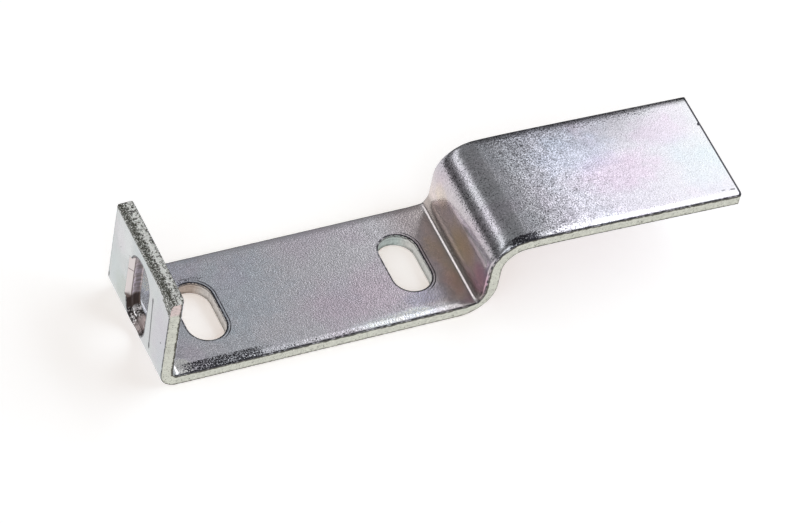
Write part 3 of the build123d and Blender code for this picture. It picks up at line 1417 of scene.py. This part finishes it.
@dataclass(frozen=True)
class PlatedFace(Finish):
    """Bright zinc over the rolled faces, with painted highlights and shade. Places are in millimetres
    along and across the strip.
    """

    # Tone along the strip. From the crease to the plate's end the stops paint light and shade: a painted
    # highlight on the crease at 42.3, painted shade in the hollow over its brown from 43.4 to 46.4 and at
    # the crest's end and the plate's start from 64.0 to 71.5, and the plate painted lighter towards its
    # end.
    tones: Stops = (
        (-74.0, (0.58, 0.60, 0.60)),
        (128.0, (0.70, 0.71, 0.74)),
        (-45.0, (0.58, 0.60, 0.60)),
        (-37.0, (0.82, 0.815, 0.88)),
        (26.0, (0.79, 0.775, 0.83)),
        (34.0, (0.61, 0.55, 0.57)),
        (41.4, (0.62, 0.56, 0.56)),
        (42.3, (0.80, 0.77, 0.79)),
        (43.4, (0.50, 0.44, 0.42)),
        (46.4, (0.42, 0.37, 0.34)),
        (49.5, (0.72, 0.62, 0.59)),
        (54.5, (0.68, 0.61, 0.62)),
        (57.5, (0.60, 0.56, 0.59)),
        (60.5, (0.58, 0.58, 0.62)),
        (64.0, (0.50, 0.51, 0.54)),
        (66.4, (0.56, 0.56, 0.60)),
        (68.2, (0.43, 0.43, 0.47)),
        (71.5, (0.46, 0.46, 0.50)),
        (82.0, (0.59, 0.58, 0.66)),
        (96.0, (0.64, 0.62, 0.70)),
    )
    bands: tuple[SpeckBand, ...] = (
        SpeckBand(-41.0, -17.0, -1.0, -1.0, 2.9, 1.1, 4.0, 0.5),
        SpeckBand(-19.0, 10.0, -1.0, -1.0, 1.5, 0.62, 4.0, 0.6),
        SpeckBand(16.0, 34.0, -1.0, 2.2, 6.0, 0.42, 6.0, 1.5),
        SpeckBand(62.0, 71.0, -1.0, -1.0, 2.2, 1.35, 2.5, 0.6),
        SpeckBand(64.0, 130.0, 1.0, -1.0, 1.3, 1.0, 4.0, 0.6),
        SpeckBand(64.0, 118.0, 1.0, -1.0, 4.2, 0.74, 5.0, 2.2),
        SpeckBand(57.5, 60.8, 0.0, 0.0, 40.0, 0.66, 0.8, 1.0),
        SpeckBand(60.0, 67.0, 0.0, 0.0, 40.0, 0.52, 1.5, 1.0),
        SpeckBand(66.0, 84.0, 0.0, 0.0, 40.0, 0.62, 6.0, 1.0),
        SpeckBand(-33.0, -23.0, 1.0, 6.0, 7.9, 0.72, 2.5, 0.8),
    )
    patches: tuple[Patch, ...] = (
        Patch(46.6, -12.0, 1.3, 7.0, (0.62, 0.58, 0.62)),
        Patch(55.0, -9.0, 1.1, 9.0, (0.58, 0.54, 0.56)),
        Patch(51.0, -3.5, 4.5, 8.0, (1.0, 0.96, 0.76)),
        Patch(53.0, 11.0, 3.0, 4.0, (1.0, 0.98, 0.87)),
        Patch(50.0, -15.0, 5.0, 4.5, (0.98, 0.80, 0.96)),
        Patch(38.5, 2.0, 3.5, 6.0, (1.0, 0.95, 0.82)),
        Patch(38.5, -9.0, 3.5, 5.0, (1.0, 0.90, 0.91)),
        Patch(99.5, -2.5, 14.0, 7.5, (1.0, 0.91, 0.965)),
        Patch(116.0, 8.0, 10.0, 6.0, (1.0, 0.92, 0.98)),
        Patch(122.0, -6.0, 8.0, 12.0, (0.955, 1.0, 1.0)),
        # Painted highlights: the bright strips along the near edge of the plate and of the base, the
        # bright spot by the fold's inner corner and the base lightened where it shows through the tab
        # slot.
        Patch(84.0, -16.4, 16.0, 1.7, (1.3, 1.32, 1.3)),
        Patch(24.0, -16.2, 18.0, 1.9, (1.22, 1.32, 1.3)),
        Patch(-39.8, -15.4, 3.0, 3.0, (1.7, 1.7, 1.7)),
        Patch(-37.5, 13.5, 4.0, 5.0, (1.30, 1.30, 1.36)),
        Patch(30.0, -11.5, 7.0, 3.5, (0.80, 0.82, 0.90)),
        Patch(90.0, 6.0, 13.0, 8.0, (0.90, 0.96, 1.0)),
        Patch(-25.0, 4.0, 24.0, 16.0, (0.92, 0.98, 1.0)),
        Patch(12.0, -6.0, 18.0, 9.0, (1.0, 0.94, 0.97)),
        Patch(-58.0, -14.0, 14.0, 5.6, (0.98, 0.93, 0.99)),
        Patch(-49.0, 8.5, 7.0, 5.5, (0.89, 0.90, 0.85)),
        Patch(-66.5, 11.0, 6.0, 6.0, (1.14, 1.13, 1.13)),
    )
    marks: tuple[Mark, ...] = (
        Mark(126.0, -15.45, 0.75, 0.16, -0.12),
        Mark(123.4, -15.2, 0.5, 0.12),
        Mark(127.2, 7.5, 0.5, 0.5, 0.3),
        Mark(127.5, -17.2, 0.45, 0.45),
        Mark(126.9, 17.2, 1.2, 0.5),
        Mark(-46.8, 17.2, 1.0, 0.45, 0.0, False),
        Mark(-56.2, -14.9, 0.25, 0.25, 0.0, False),
        Mark(-62.0, 12.6, 0.2, 0.16, 0.0, False),
        Mark(-64.3, -7.95, 1.0, 0.36, -0.07, False),
        Mark(-48.6, -9.05, 1.1, 0.40, -0.07, False),
    )
    mottles: Stops = (
        (-74.0, 0.3),
        (128.0, 0.3),
        (-46.0, 0.3),
        (-40.0, 0.9),
        (-20.0, 0.7),
        (-4.0, 0.28),
        (10.0, 0.2),
        (24.0, 1.0),
        (36.0, 0.8),
        (56.0, 0.6),
        (60.0, 1.2),
        (68.0, 1.3),
        (74.0, 3.3),
        (84.0, 2.9),
        (96.0, 1.2),
        (112.0, 0.5),
    )
    # Dark colour of the specks and small marks, and of the painted shade lines along the edges and the
    # groove.
    dark: Color = (0.05, 0.05, 0.06)
    half_width: float = 17.5
    patch_noise: Noise = Noise(0.3, 2.0, 0.6)
    patch_wander: float = 0.8
    patch_fade: float = 1.3
    mark_fade: Span = (0.6, 1.6)
    mark_side: Span = (1.5, 2.5)
    speck_side: Span = (1.0, 2.0)
    grain_middle: float = 0.67
    rainbow: float = 0.4
    # Painted shade: the far side of the plate is darkened by far_shade over far_run and far_across.
    far_shade: float = 0.26
    far_run: Span = (70.0, 112.0)
    far_soft: float = 8.0
    far_across: Span = (2.0, 14.0)
    # Painted shade of the pressed groove down the tab's outer face.
    crease_across: float = -8.45
    crease_middle: float = -57.0
    crease_slant: float = 0.07
    crease_ends: Span = (-65.0, -47.5)
    crease_soft: float = 0.8
    crease_width: float = 0.48
    crease_side: Span = (0.5, 1.0)
    # Painted shade lines along the rolled edges: at the outline, at the plate's end, round the slots'
    # rims and a second one on each base slot's +x side.
    line_noise: Noise = Noise(0.9, 2.0, 0.6)
    line_width: float = 0.34
    line_breaks: Levels = (0.36, 0.54, 0.35, 0.95)
    end_line: Span = (127.05, 127.25)
    slot_line: float = 0.58
    slot_breaks: Levels = (0.32, 0.46, 0.55, 1.0)
    second_line: Span = (0.80, 1.10)
    second_soft: float = 0.1
    second_breaks: Levels = (0.32, 0.46, 0.5, 1.0)
    second_run: Span = (3.0, 9.0)
    second_run_soft: float = 1.5

    def ellipse(self, bench: Bench, place: Place, spot: Patch | Mark) -> Socket:
        """Measure how far places lie from a spot's middle.

        Args:
            bench: The material's bench.
            place: The place in the strip.
            spot: The spot.

        Returns:
            The squared distance, which is 1 at the spot's half sizes.
        """
        run = bench.math("SUBTRACT", place.along, spot.along)
        slip = bench.math("SUBTRACT", place.across, spot.across)
        if isinstance(spot, Mark):
            slip = bench.math("MULTIPLY_ADD", run, -spot.slant, slip)
        far = bench.math("DIVIDE", run, spot.half_along)
        wide = bench.math("DIVIDE", slip, spot.half_across)
        return bench.math("MULTIPLY_ADD", far, far, bench.math("MULTIPLY", wide, wide))

    def lay_patches(self, bench: Bench, place: Place, color: Socket) -> Socket:
        """Lay every patch over a colour, the painted highlights among them, its edges broken by a slow
        noise.

        Args:
            bench: The material's bench.
            place: The place in the strip.
            color: The colour.

        Returns:
            The patched colour.
        """
        noise = bench.noise(place.point, self.patch_noise)
        uneven = bench.math("MULTIPLY_ADD", noise, 2 * self.patch_wander, -self.patch_wander)
        for patch in self.patches:
            squares = bench.math("ADD", self.ellipse(bench, place, patch), uneven)
            cover = bench.fall(squares, 0.0, self.patch_fade)
            color = bench.blend(cover, color, patch.hue, "MULTIPLY")
        return color

    def speck_density(self, bench: Bench, place: Place) -> Value:
        """Work out how densely dark specks lie: as in the densest band at each place.

        Args:
            bench: The material's bench.
            place: The place in the strip.

        Returns:
            The density.
        """
        parts = []
        for band in self.bands:
            run = bench.bump_band(place.along, band.start, band.end, band.soft)
            if band.edge:
                from_edge = bench.math("MULTIPLY_ADD", place.across, -band.edge, self.half_width)
                into = bench.bump_band(from_edge, band.inner, band.outer, band.fade)
                run = bench.math("MULTIPLY", run, into)
            parts.append(bench.math("MULTIPLY", run, band.density))
        return bench.highest(*parts)

    def tab_groove_shade(self, bench: Bench, place: Place) -> Socket:
        """Draw the painted shade of the thin pressed groove down the tab's outer face.

        Args:
            bench: The material's bench.
            place: The place in the strip.

        Returns:
            The line's mask.
        """
        start = self.crease_across + self.crease_middle * self.crease_slant
        middle = bench.math("MULTIPLY_ADD", place.along, -self.crease_slant, start)
        away = bench.math("ABSOLUTE", bench.math("SUBTRACT", place.across, middle))
        line = bench.fall(away, 0.0, self.crease_width)
        run = bench.bump_band(place.along, *self.crease_ends, self.crease_soft)
        outer = bench.fall(place.depth, *self.crease_side)
        return bench.math("MULTIPLY", bench.math("MULTIPLY", line, run), outer)

    def small_marks(self, bench: Bench, place: Place) -> Value:
        """Draw the single small marks, each an ellipse that may be slanted.

        Args:
            bench: The material's bench.
            place: The place in the strip.

        Returns:
            The marks' mask.
        """
        upper, lower = bench.step(place.depth, *self.mark_side), bench.fall(place.depth, *self.mark_side)
        parts = []
        for mark in self.marks:
            spot = bench.fall(self.ellipse(bench, place, mark), *self.mark_fade)
            parts.append(bench.math("MULTIPLY", spot, upper if mark.upper else lower))
        return bench.highest(*parts)

    def edge_shade_lines(self, bench: Bench, place: Place) -> Value:
        """Draw the painted shade lines along the rolled edges: at the outline, the plate's end and the
        slots' rims.

        Args:
            bench: The material's bench.
            place: The place in the strip.

        Returns:
            The lines' mask.
        """
        broken = bench.noise(place.point, self.line_noise)
        side = bench.fall(place.rim, self.line_width / 2, self.line_width)
        side = bench.math("MULTIPLY", side, bench.step(broken, *self.line_breaks))
        # Painted shade over the plate's rolled end.
        end = bench.step(place.along, *self.end_line)
        ring = bench.fall(place.slot_rim, self.slot_line / 2, self.slot_line)
        ring = bench.math("MULTIPLY", ring, bench.step(broken, *self.slot_breaks))
        start, stop = self.second_run
        runs = (
            bench.bump_band(place.along, at + start, at + stop, self.second_run_soft)
            for at in BASE_SLOTS
        )
        second = bench.bump_band(place.slot_rim, *self.second_line, self.second_soft)
        second = bench.math("MULTIPLY", second, bench.math("ADD", *runs))
        second = bench.math("MULTIPLY", second, bench.step(broken, *self.second_breaks))
        return bench.highest(side, end, ring, second)

    def dress(self, bench: Bench, place: Place, effects: Effects) -> tuple[Socket, Socket]:
        """Make tone along the strip with its painted highlight and shade, rainbow patches with painted
        highlights, the painted shade of the plate's far side, dark specks, painted shade lines along the
        edges and the groove, marks, and grain.

        Args:
            bench: The material's bench.
            place: The place in the strip.
            effects: The shared groups.

        Returns:
            The colour and the height of the relief.
        """
        # The tone carries the painted highlight and shade along the folds and the plate.
        tone = bench.ramp(place.along, self.tones)
        tint = bench.group(effects.tint, Place=place.point, Color=tone, Strength=self.rainbow)
        color = self.lay_patches(bench, place, tint.outputs["Color"])
        grain = bench.group(effects.grain, Place=place.point).outputs["Height"]
        # Painted shade on the plate's far side.
        far = bench.bump_band(place.along, *self.far_run, self.far_soft)
        far = bench.math("MULTIPLY", far, bench.step(place.across, *self.far_across))
        level = bench.math("MULTIPLY_ADD", far, -self.far_shade, 1.0)
        gain = bench.ramp(place.along, self.mottles)
        color = bench.shade(color, grain, gain, level, self.grain_middle)
        density = self.speck_density(bench, place)
        specks = bench.group(effects.specks, Place=place.point, Density=density).outputs["Mask"]
        specks = bench.math("MULTIPLY", specks, bench.step(place.depth, *self.speck_side))
        # The dark mask holds the specks and marks, and the painted shade of the edges and the groove.
        crease, marks = self.tab_groove_shade(bench, place), self.small_marks(bench, place)
        mask = bench.highest(specks, self.edge_shade_lines(bench, place), crease, marks)
        return bench.blend(mask, color, self.dark), grain


@dataclass(frozen=True)
class ShearedEdge(Finish):
    """The strip's cut sides: mottled pale zinc, streaked through the depth, with painted shade at the
    top.
    """

    color: Color = (0.665, 0.67, 0.595)
    tab_color: Color = (0.72, 0.60, 0.58)
    tab_stretch: Span = (-69.4, -68.4)
    dark: Color = (0.07, 0.065, 0.05)
    streaks: Noise = Noise(1.0, 4.0, 0.7, (1.3, 1.0, 0.6))
    streak_gain: float = 0.7
    streak_level: float = 0.98
    waves: Noise = Noise(1.0, 3.0, 0.6, (0.8, 0.8, 0.2))
    wave_reach: float = 0.15
    top_shade_line: Span = (2.60, 2.86)
    foot_line: Span = (0.12, 0.34)
    foot_share: float = 0.6
    pits: float = 0.42
    dark_share: float = 0.95

    def dress(self, bench: Bench, place: Place, effects: Effects) -> tuple[Socket, Socket]:
        """Make the mottled colour, the pink stretch by the tab's top, the painted shade line at the top,
        the dark foot line and pits.

        Args:
            bench: The material's bench.
            place: The place in the strip.
            effects: The shared groups.

        Returns:
            The colour and the height of the relief.
        """
        pink = bench.fall(place.along, *self.tab_stretch)
        color = bench.blend(pink, self.color, self.tab_color)
        streaks = bench.noise(place.point, self.streaks)
        color = bench.shade(color, streaks, self.streak_gain, self.streak_level)
        wave = bench.swing(bench.noise(place.point, self.waves), self.wave_reach)
        depth = bench.math("ADD", place.depth, wave)
        foot = bench.math("MULTIPLY", bench.fall(depth, *self.foot_line), self.foot_share)
        pits = bench.group(effects.specks, Place=place.point, Density=self.pits).outputs["Mask"]
        # Painted shade along the top of the cut side, under the rolled edge.
        line = bench.highest(bench.step(depth, *self.top_shade_line), foot, pits)
        line = bench.math("MULTIPLY", line, self.dark_share)
        return bench.blend(line, color, self.dark), streaks


@dataclass(frozen=True)
class CroppedEnd(Finish):
    """The tab's torn top: dark by the outer face, with a silvery streak near the inner one."""

    color: Color = (0.09, 0.09, 0.075)
    wander: Noise = Noise(1.0, 2.0, 0.5, (0.0, 0.35, 0.0))
    streak: Span = (2.15, 2.95)
    streak_soft: float = 0.3
    streak_run: Span = (-12.5, 11.0)
    streak_run_soft: float = 2.0
    streak_gain: float = 0.09
    levels: Stops = (
        (0.0, 0.44),
        (4.0, 0.50),
        (0.80, 0.435),
        (1.3, 0.455),
        (2.0, 0.48),
        (2.5, 0.52),
        (3.4, 0.52),
    )
    clumps: Noise = Noise(1.1, 2.0, 0.6)
    clump_run: Span = (1.5, 2.2)
    clump_gain: float = 0.55
    line: Span = (0.90, 1.06)
    line_soft: float = 0.08
    line_color: Color = (0.08, 0.08, 0.06)

    def dress(self, bench: Bench, place: Place, effects: Effects) -> tuple[Socket, Socket]:
        """Make the torn steel, brighter along the streak and clumped on its inner side.

        Args:
            bench: The material's bench.
            place: The place in the strip.
            effects: The shared groups.

        Returns:
            The colour and the height of the relief.
        """
        run = bench.bump_band(place.across, *self.streak_run, self.streak_run_soft)
        wander = bench.math("SUBTRACT", bench.noise(place.point, self.wander), 0.5)
        swung = bench.math("ADD", place.depth, wander)
        streak = bench.math("MULTIPLY", bench.bump_band(swung, *self.streak, self.streak_soft), run)
        plain = bench.ramp(place.depth, self.levels)
        level = bench.math("MULTIPLY_ADD", streak, self.streak_gain, plain)
        clumps = bench.math("SUBTRACT", bench.noise(place.point, self.clumps), 0.5)
        inner = bench.step(swung, *self.clump_run, 0.0, self.clump_gain)
        level = bench.math("MULTIPLY_ADD", clumps, inner, level)
        torn = bench.group(effects.fracture, Place=place.point, Brightness=level, Dark=self.color)
        line = bench.bump_band(place.depth, *self.line, self.line_soft)
        return bench.blend(line, torn.outputs["Color"], self.line_color), torn.outputs["Height"]


@dataclass(frozen=True)
class BaseSlotWall(Finish):
    """The base slots' punched walls: one warmer, one cooler, each with painted light on its +x side and a
    broken painted shade line under the rim.
    """

    color: Color = (0.42, 0.34, 0.29)
    second_color: Color = (0.42, 0.47, 0.45)
    second_start: Span = (-1.0, 1.0)
    # Painted light: the walls on each slot's +x side are made paler.
    pale: Color = (0.64, 0.61, 0.58)
    pale_share: float = 0.75
    pale_run: Span = (3.4, 9.0)
    pale_soft: float = 1.6
    dark: Color = (0.09, 0.08, 0.08)
    streaks: Noise = Noise(2.0, 3.0, 0.65, (1.0, 1.0, 0.3))
    streak_gain: float = 1.0
    wave_reach: float = 0.2
    # Painted shade: a dark band under the slot's rolled rim.
    line: Span = (3.3, 3.75)
    line_soft: float = 0.15

    def dress(self, bench: Bench, place: Place, effects: Effects) -> tuple[Socket, Socket]:
        """Make the two tones, the painted light on the walls' +x side, streaks through the depth and the
        painted shade line under the rim.

        Args:
            bench: The material's bench.
            place: The place in the strip.
            effects: The shared groups, of which this finish needs none.

        Returns:
            The colour and the height of the relief.
        """
        second = bench.step(place.along, *self.second_start)
        color = bench.blend(second, self.color, self.second_color)
        start, stop = self.pale_run
        # Painted light on each slot's +x wall.
        for at in BASE_SLOTS:
            side = bench.bump_band(place.along, at + start, at + stop, self.pale_soft)
            color = bench.blend(bench.math("MULTIPLY", side, self.pale_share), color, self.pale)
        streaks = bench.noise(place.point, self.streaks)
        color = bench.shade(color, streaks, self.streak_gain)
        depth = bench.math("ADD", place.depth, bench.swing(streaks, self.wave_reach))
        # Painted shade under the rolled rim.
        line = bench.bump_band(depth, *self.line, self.line_soft)
        return bench.blend(line, color, self.dark), streaks


@dataclass(frozen=True)
class TabSlotWall(Finish):
    """The tab slot's wall: a smooth pink land by the outer face, then dark broken metal."""

    color: Color = (0.74, 0.68, 0.67)
    land_end: float = 1.3
    land_soft: float = 0.1
    edge_half: float = 0.06
    edge_soft: float = 0.08
    ribs: Noise = Noise(1.0, 2.0, 0.6, (1.6, 0.25, 0.25))
    rib_dark: Color = (0.40, 0.34, 0.32)
    rib_bright: Color = (0.66, 0.58, 0.62)
    brown: Color = (0.13, 0.10, 0.09)
    torn_dark: Color = (0.06, 0.055, 0.055)
    torn_bright: Color = (0.86, 0.84, 0.85)
    end_color: Color = (0.62, 0.52, 0.51)
    ribs_end: Span = (-50.6, -49.6)
    torn_start: Span = (-47.0, -46.4)
    torn_end: Span = (-44.8, -44.1)
    chunk: float = 0.62
    brightness: float = 0.46
    crack: float = -59.6
    crack_slant: float = 0.35
    crack_half: float = 0.12
    crack_soft: float = 0.06

    def dress(self, bench: Bench, place: Place, effects: Effects) -> tuple[Socket, Socket]:
        """Make the land, the ribbed wall, the brown break, the torn metal and the pale end.

        Args:
            bench: The material's bench.
            place: The place in the strip.
            effects: The shared groups.

        Returns:
            The colour and the height of the relief.
        """
        torn = bench.group(
            effects.fracture,
            Place=bench.stretch(place.point, (self.chunk, self.chunk, self.chunk)),
            Dark=self.torn_dark,
            Bright=self.torn_bright,
            Brightness=self.brightness,
        )
        ribs = bench.step(bench.noise(place.point, self.ribs), *UNEVEN)
        wall = bench.blend(ribs, self.rib_dark, self.rib_bright)
        past_ribs = bench.step(place.along, *self.ribs_end)
        wall = bench.blend(past_ribs, wall, self.brown)
        wall = bench.blend(bench.step(place.along, *self.torn_start), wall, torn.outputs["Color"])
        wall = bench.blend(bench.step(place.along, *self.torn_end), wall, self.end_color)
        start, end = self.land_end - self.land_soft, self.land_end + self.land_soft
        broken = bench.highest(bench.step(place.depth, start, end), past_ribs)
        color = bench.blend(broken, self.color, wall)
        start, end = self.land_end - self.edge_half, self.land_end + self.edge_half
        edge = bench.bump_band(place.depth, start, end, self.edge_soft)
        slanted = bench.math("MULTIPLY_ADD", place.depth, -self.crack_slant, place.along)
        start, end = self.crack - self.crack_half, self.crack + self.crack_half
        split = bench.bump_band(slanted, start, end, self.crack_soft)
        land = bench.fall(place.depth, self.land_end - self.land_soft, self.land_end)
        split = bench.math("MULTIPLY", split, land)
        return bench.blend(bench.highest(edge, split), color, self.brown), torn.outputs["Height"]


# ------------------------------------------------------------------------------- studio
@dataclass(frozen=True)
class SoftBox:
    """A rectangular lamp that faces the object."""

    name: str
    direction: tuple[float, float, float]
    distance: float
    width: float
    height: float
    radiance: float
    color: Color = (1.0, 1.0, 1.0)
    aim: tuple[float, float, float] = (0.03, 0.0, 0.015)

    def build(self) -> None:
        """Place the lamp. Its power is radiance x pi x area, so it looks equally bright at any size."""
        lamp = bpy.data.lights.new(self.name, "AREA")
        lamp.shape = "RECTANGLE"
        lamp.size, lamp.size_y = self.width, self.height
        lamp.energy = self.radiance * math.pi * self.width * self.height
        lamp.color = self.color
        towards = Vector(self.direction).normalized()
        piece = bpy.data.objects.new(self.name, lamp)
        piece.location = Vector(self.aim) + towards * self.distance
        piece.rotation_euler = towards.to_track_quat("Z", "Y").to_euler()
        bpy.context.scene.collection.objects.link(piece)


@dataclass
class Studio:
    """Pale floor, soft lamps, a dim surround and the camera."""

    azimuth: float = -33.669
    elevation: float = 48.091
    roll: float = 13.103
    distance: float = 1.56381
    aim: tuple[float, float, float] = (0.026453, -0.001829, 0.007277)
    lens: float = 275.51
    sensor: float = 36.0
    clip: Span = (0.01, 20.0)
    surround: float = 0.3
    horizon_glow: float = 0.5
    horizon: float = 0.06
    glow_height: float = 0.07
    horizon_height: float = 0.50
    floor_side: float = 6.0
    backdrop_share: float = 0.97
    floor_color: Color = (0.95, 0.95, 0.95)
    seen_color: Color = (0.76, 0.90, 1.0)
    seen_glow: Color = (0.49, 0.385, 0.31)
    floor_gap: float = 0.05 * MM
    boxes: tuple[SoftBox, ...] = (
        SoftBox("back_left_strip", (-0.603, 0.556, 0.572), 1.1, 0.9, 0.225, 1.25),
        SoftBox("right_box", (0.81, 0.0, 0.59), 1.3, 2.1, 1.21, 1.25),
        SoftBox("overhead_box", (0.49, 0.0, 0.872), 1.0, 0.6, 0.25, 1.3),
        SoftBox("front_box", (-0.55, -0.75, 0.60), 1.4, 1.4, 1.4, 1.15),
    )

    def build_camera(self) -> None:
        """Set the camera on its bearing, at its distance from the aim point, turned by its roll."""
        a, e, r = (math.radians(v) for v in (self.azimuth, self.elevation, self.roll))
        back = Vector((math.sin(a) * math.cos(e), -math.cos(a) * math.cos(e), math.sin(e)))
        level = Vector((math.cos(a), math.sin(a), 0.0))
        upright = back.cross(level)
        right = level * math.cos(r) + upright * math.sin(r)
        up = upright * math.cos(r) - level * math.sin(r)
        camera = bpy.data.cameras.new("camera")
        camera.lens, camera.sensor_width = self.lens, self.sensor
        camera.clip_start, camera.clip_end = self.clip
        piece = bpy.data.objects.new("camera", camera)
        place = Vector(self.aim) + back * self.distance
        piece.matrix_world = Matrix.Translation(place) @ Matrix((right, up, back)).transposed().to_4x4()
        bpy.context.scene.collection.objects.link(piece)
        bpy.context.scene.camera = piece

    def build_floor(self) -> None:
        """Lay the pale floor under the bracket."""
        half, z = self.floor_side / 2, -self.floor_gap
        data = bpy.data.meshes.new("floor")
        corners = [(-half, -half, z), (half, -half, z), (half, half, z), (-half, half, z)]
        data.from_pydata(corners, [], [(0, 1, 2, 3)])
        floor = bpy.data.objects.new("floor", data)
        bpy.context.scene.collection.objects.link(floor)
        material = bpy.data.materials.new("floor_white")
        material.use_nodes = True
        bench = Bench(material.node_tree)
        shader = material.node_tree.nodes["Principled BSDF"]
        shader.inputs["Roughness"].default_value = 1.0
        shader.inputs["Specular IOR Level"].default_value = 0.0
        path = bench.node("ShaderNodeLightPath")
        seen = path.outputs["Is Camera Ray"]
        shader.inputs["Emission Strength"].default_value = 1.0
        bench.feed(shader.inputs["Base Color"], bench.blend(seen, self.floor_color, self.seen_color))
        bench.feed(shader.inputs["Emission Color"], bench.blend(seen, (0.0, 0.0, 0.0), self.seen_glow))
        mirrored = bench.highest(path.outputs["Is Glossy Ray"], path.outputs["Is Transmission Ray"])
        white = bench.node("ShaderNodeEmission")
        mix = bench.node("ShaderNodeMixShader")
        bench.feed(mix.inputs[0], bench.math("MULTIPLY", mirrored, self.backdrop_share))
        bench.feed(mix.inputs[1], shader.outputs[0])
        bench.feed(mix.inputs[2], white.outputs[0])
        below = bench.node("ShaderNodeNewGeometry").outputs["Backfacing"]
        open_below = bench.node("ShaderNodeMixShader")
        bench.feed(open_below.inputs[0], below)
        bench.feed(open_below.inputs[1], mix.outputs[0])
        bench.feed(open_below.inputs[2], bench.node("ShaderNodeBsdfTransparent").outputs[0])
        bench.feed(material.node_tree.nodes["Material Output"].inputs[0], open_below.outputs[0])
        data.materials.append(material)

    def build_surround(self) -> None:
        """Give the world a dim tone that darkens towards the horizon."""
        world = bpy.data.worlds.new("surround")
        world.use_nodes = True
        bench = Bench(world.node_tree)
        parts = bench.node("ShaderNodeSeparateXYZ")
        bench.feed(parts.inputs[0], bench.node("ShaderNodeTexCoord").outputs["Generated"])
        dim = bench.step(parts.outputs["Z"], 0.0, self.horizon_height, self.horizon, self.surround)
        glow = bench.step(parts.outputs["Z"], 0.0, self.glow_height, self.horizon_glow, 0.0)
        level = bench.math("ADD", dim, glow)
        bench.feed(world.node_tree.nodes["Background"].inputs["Strength"], level)
        world.node_tree.nodes["Background"].inputs["Color"].default_value = (1.0, 1.0, 1.0, 1.0)
        bpy.context.scene.world = world

    def build(self) -> None:
        """Build the whole studio."""
        bpy.context.scene.view_settings.view_transform = "Standard"
        self.build_surround()
        self.build_floor()
        for box in self.boxes:
            box.build()
        self.build_camera()


def main() -> None:
    """Build the studio and the bracket, and give the bracket its finishes."""
    logging.basicConfig(level=logging.INFO, format="%(name)s: %(message)s")
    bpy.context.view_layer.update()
    Studio().build()
    log.info("studio: floor, lamps and camera")
    piece = Bracket().build()
    effects = Effects()
    for finish in (
        PlatedFace("plated_face", 0.2, 0.03 * MM),
        ShearedEdge("sheared_edge", 0.38, 0.04 * MM),
        CroppedEnd("cropped_end", 0.40, 0.2 * MM, 0.7),
        BaseSlotWall("base_slot_wall", 0.38, 0.05 * MM),
        TabSlotWall("tab_slot_wall", 0.35, 0.08 * MM),
    ):
        piece.data.materials.append(finish.build(effects))
        log.info("finish: %s", finish.name)


if __name__ == "__main__":
    main()
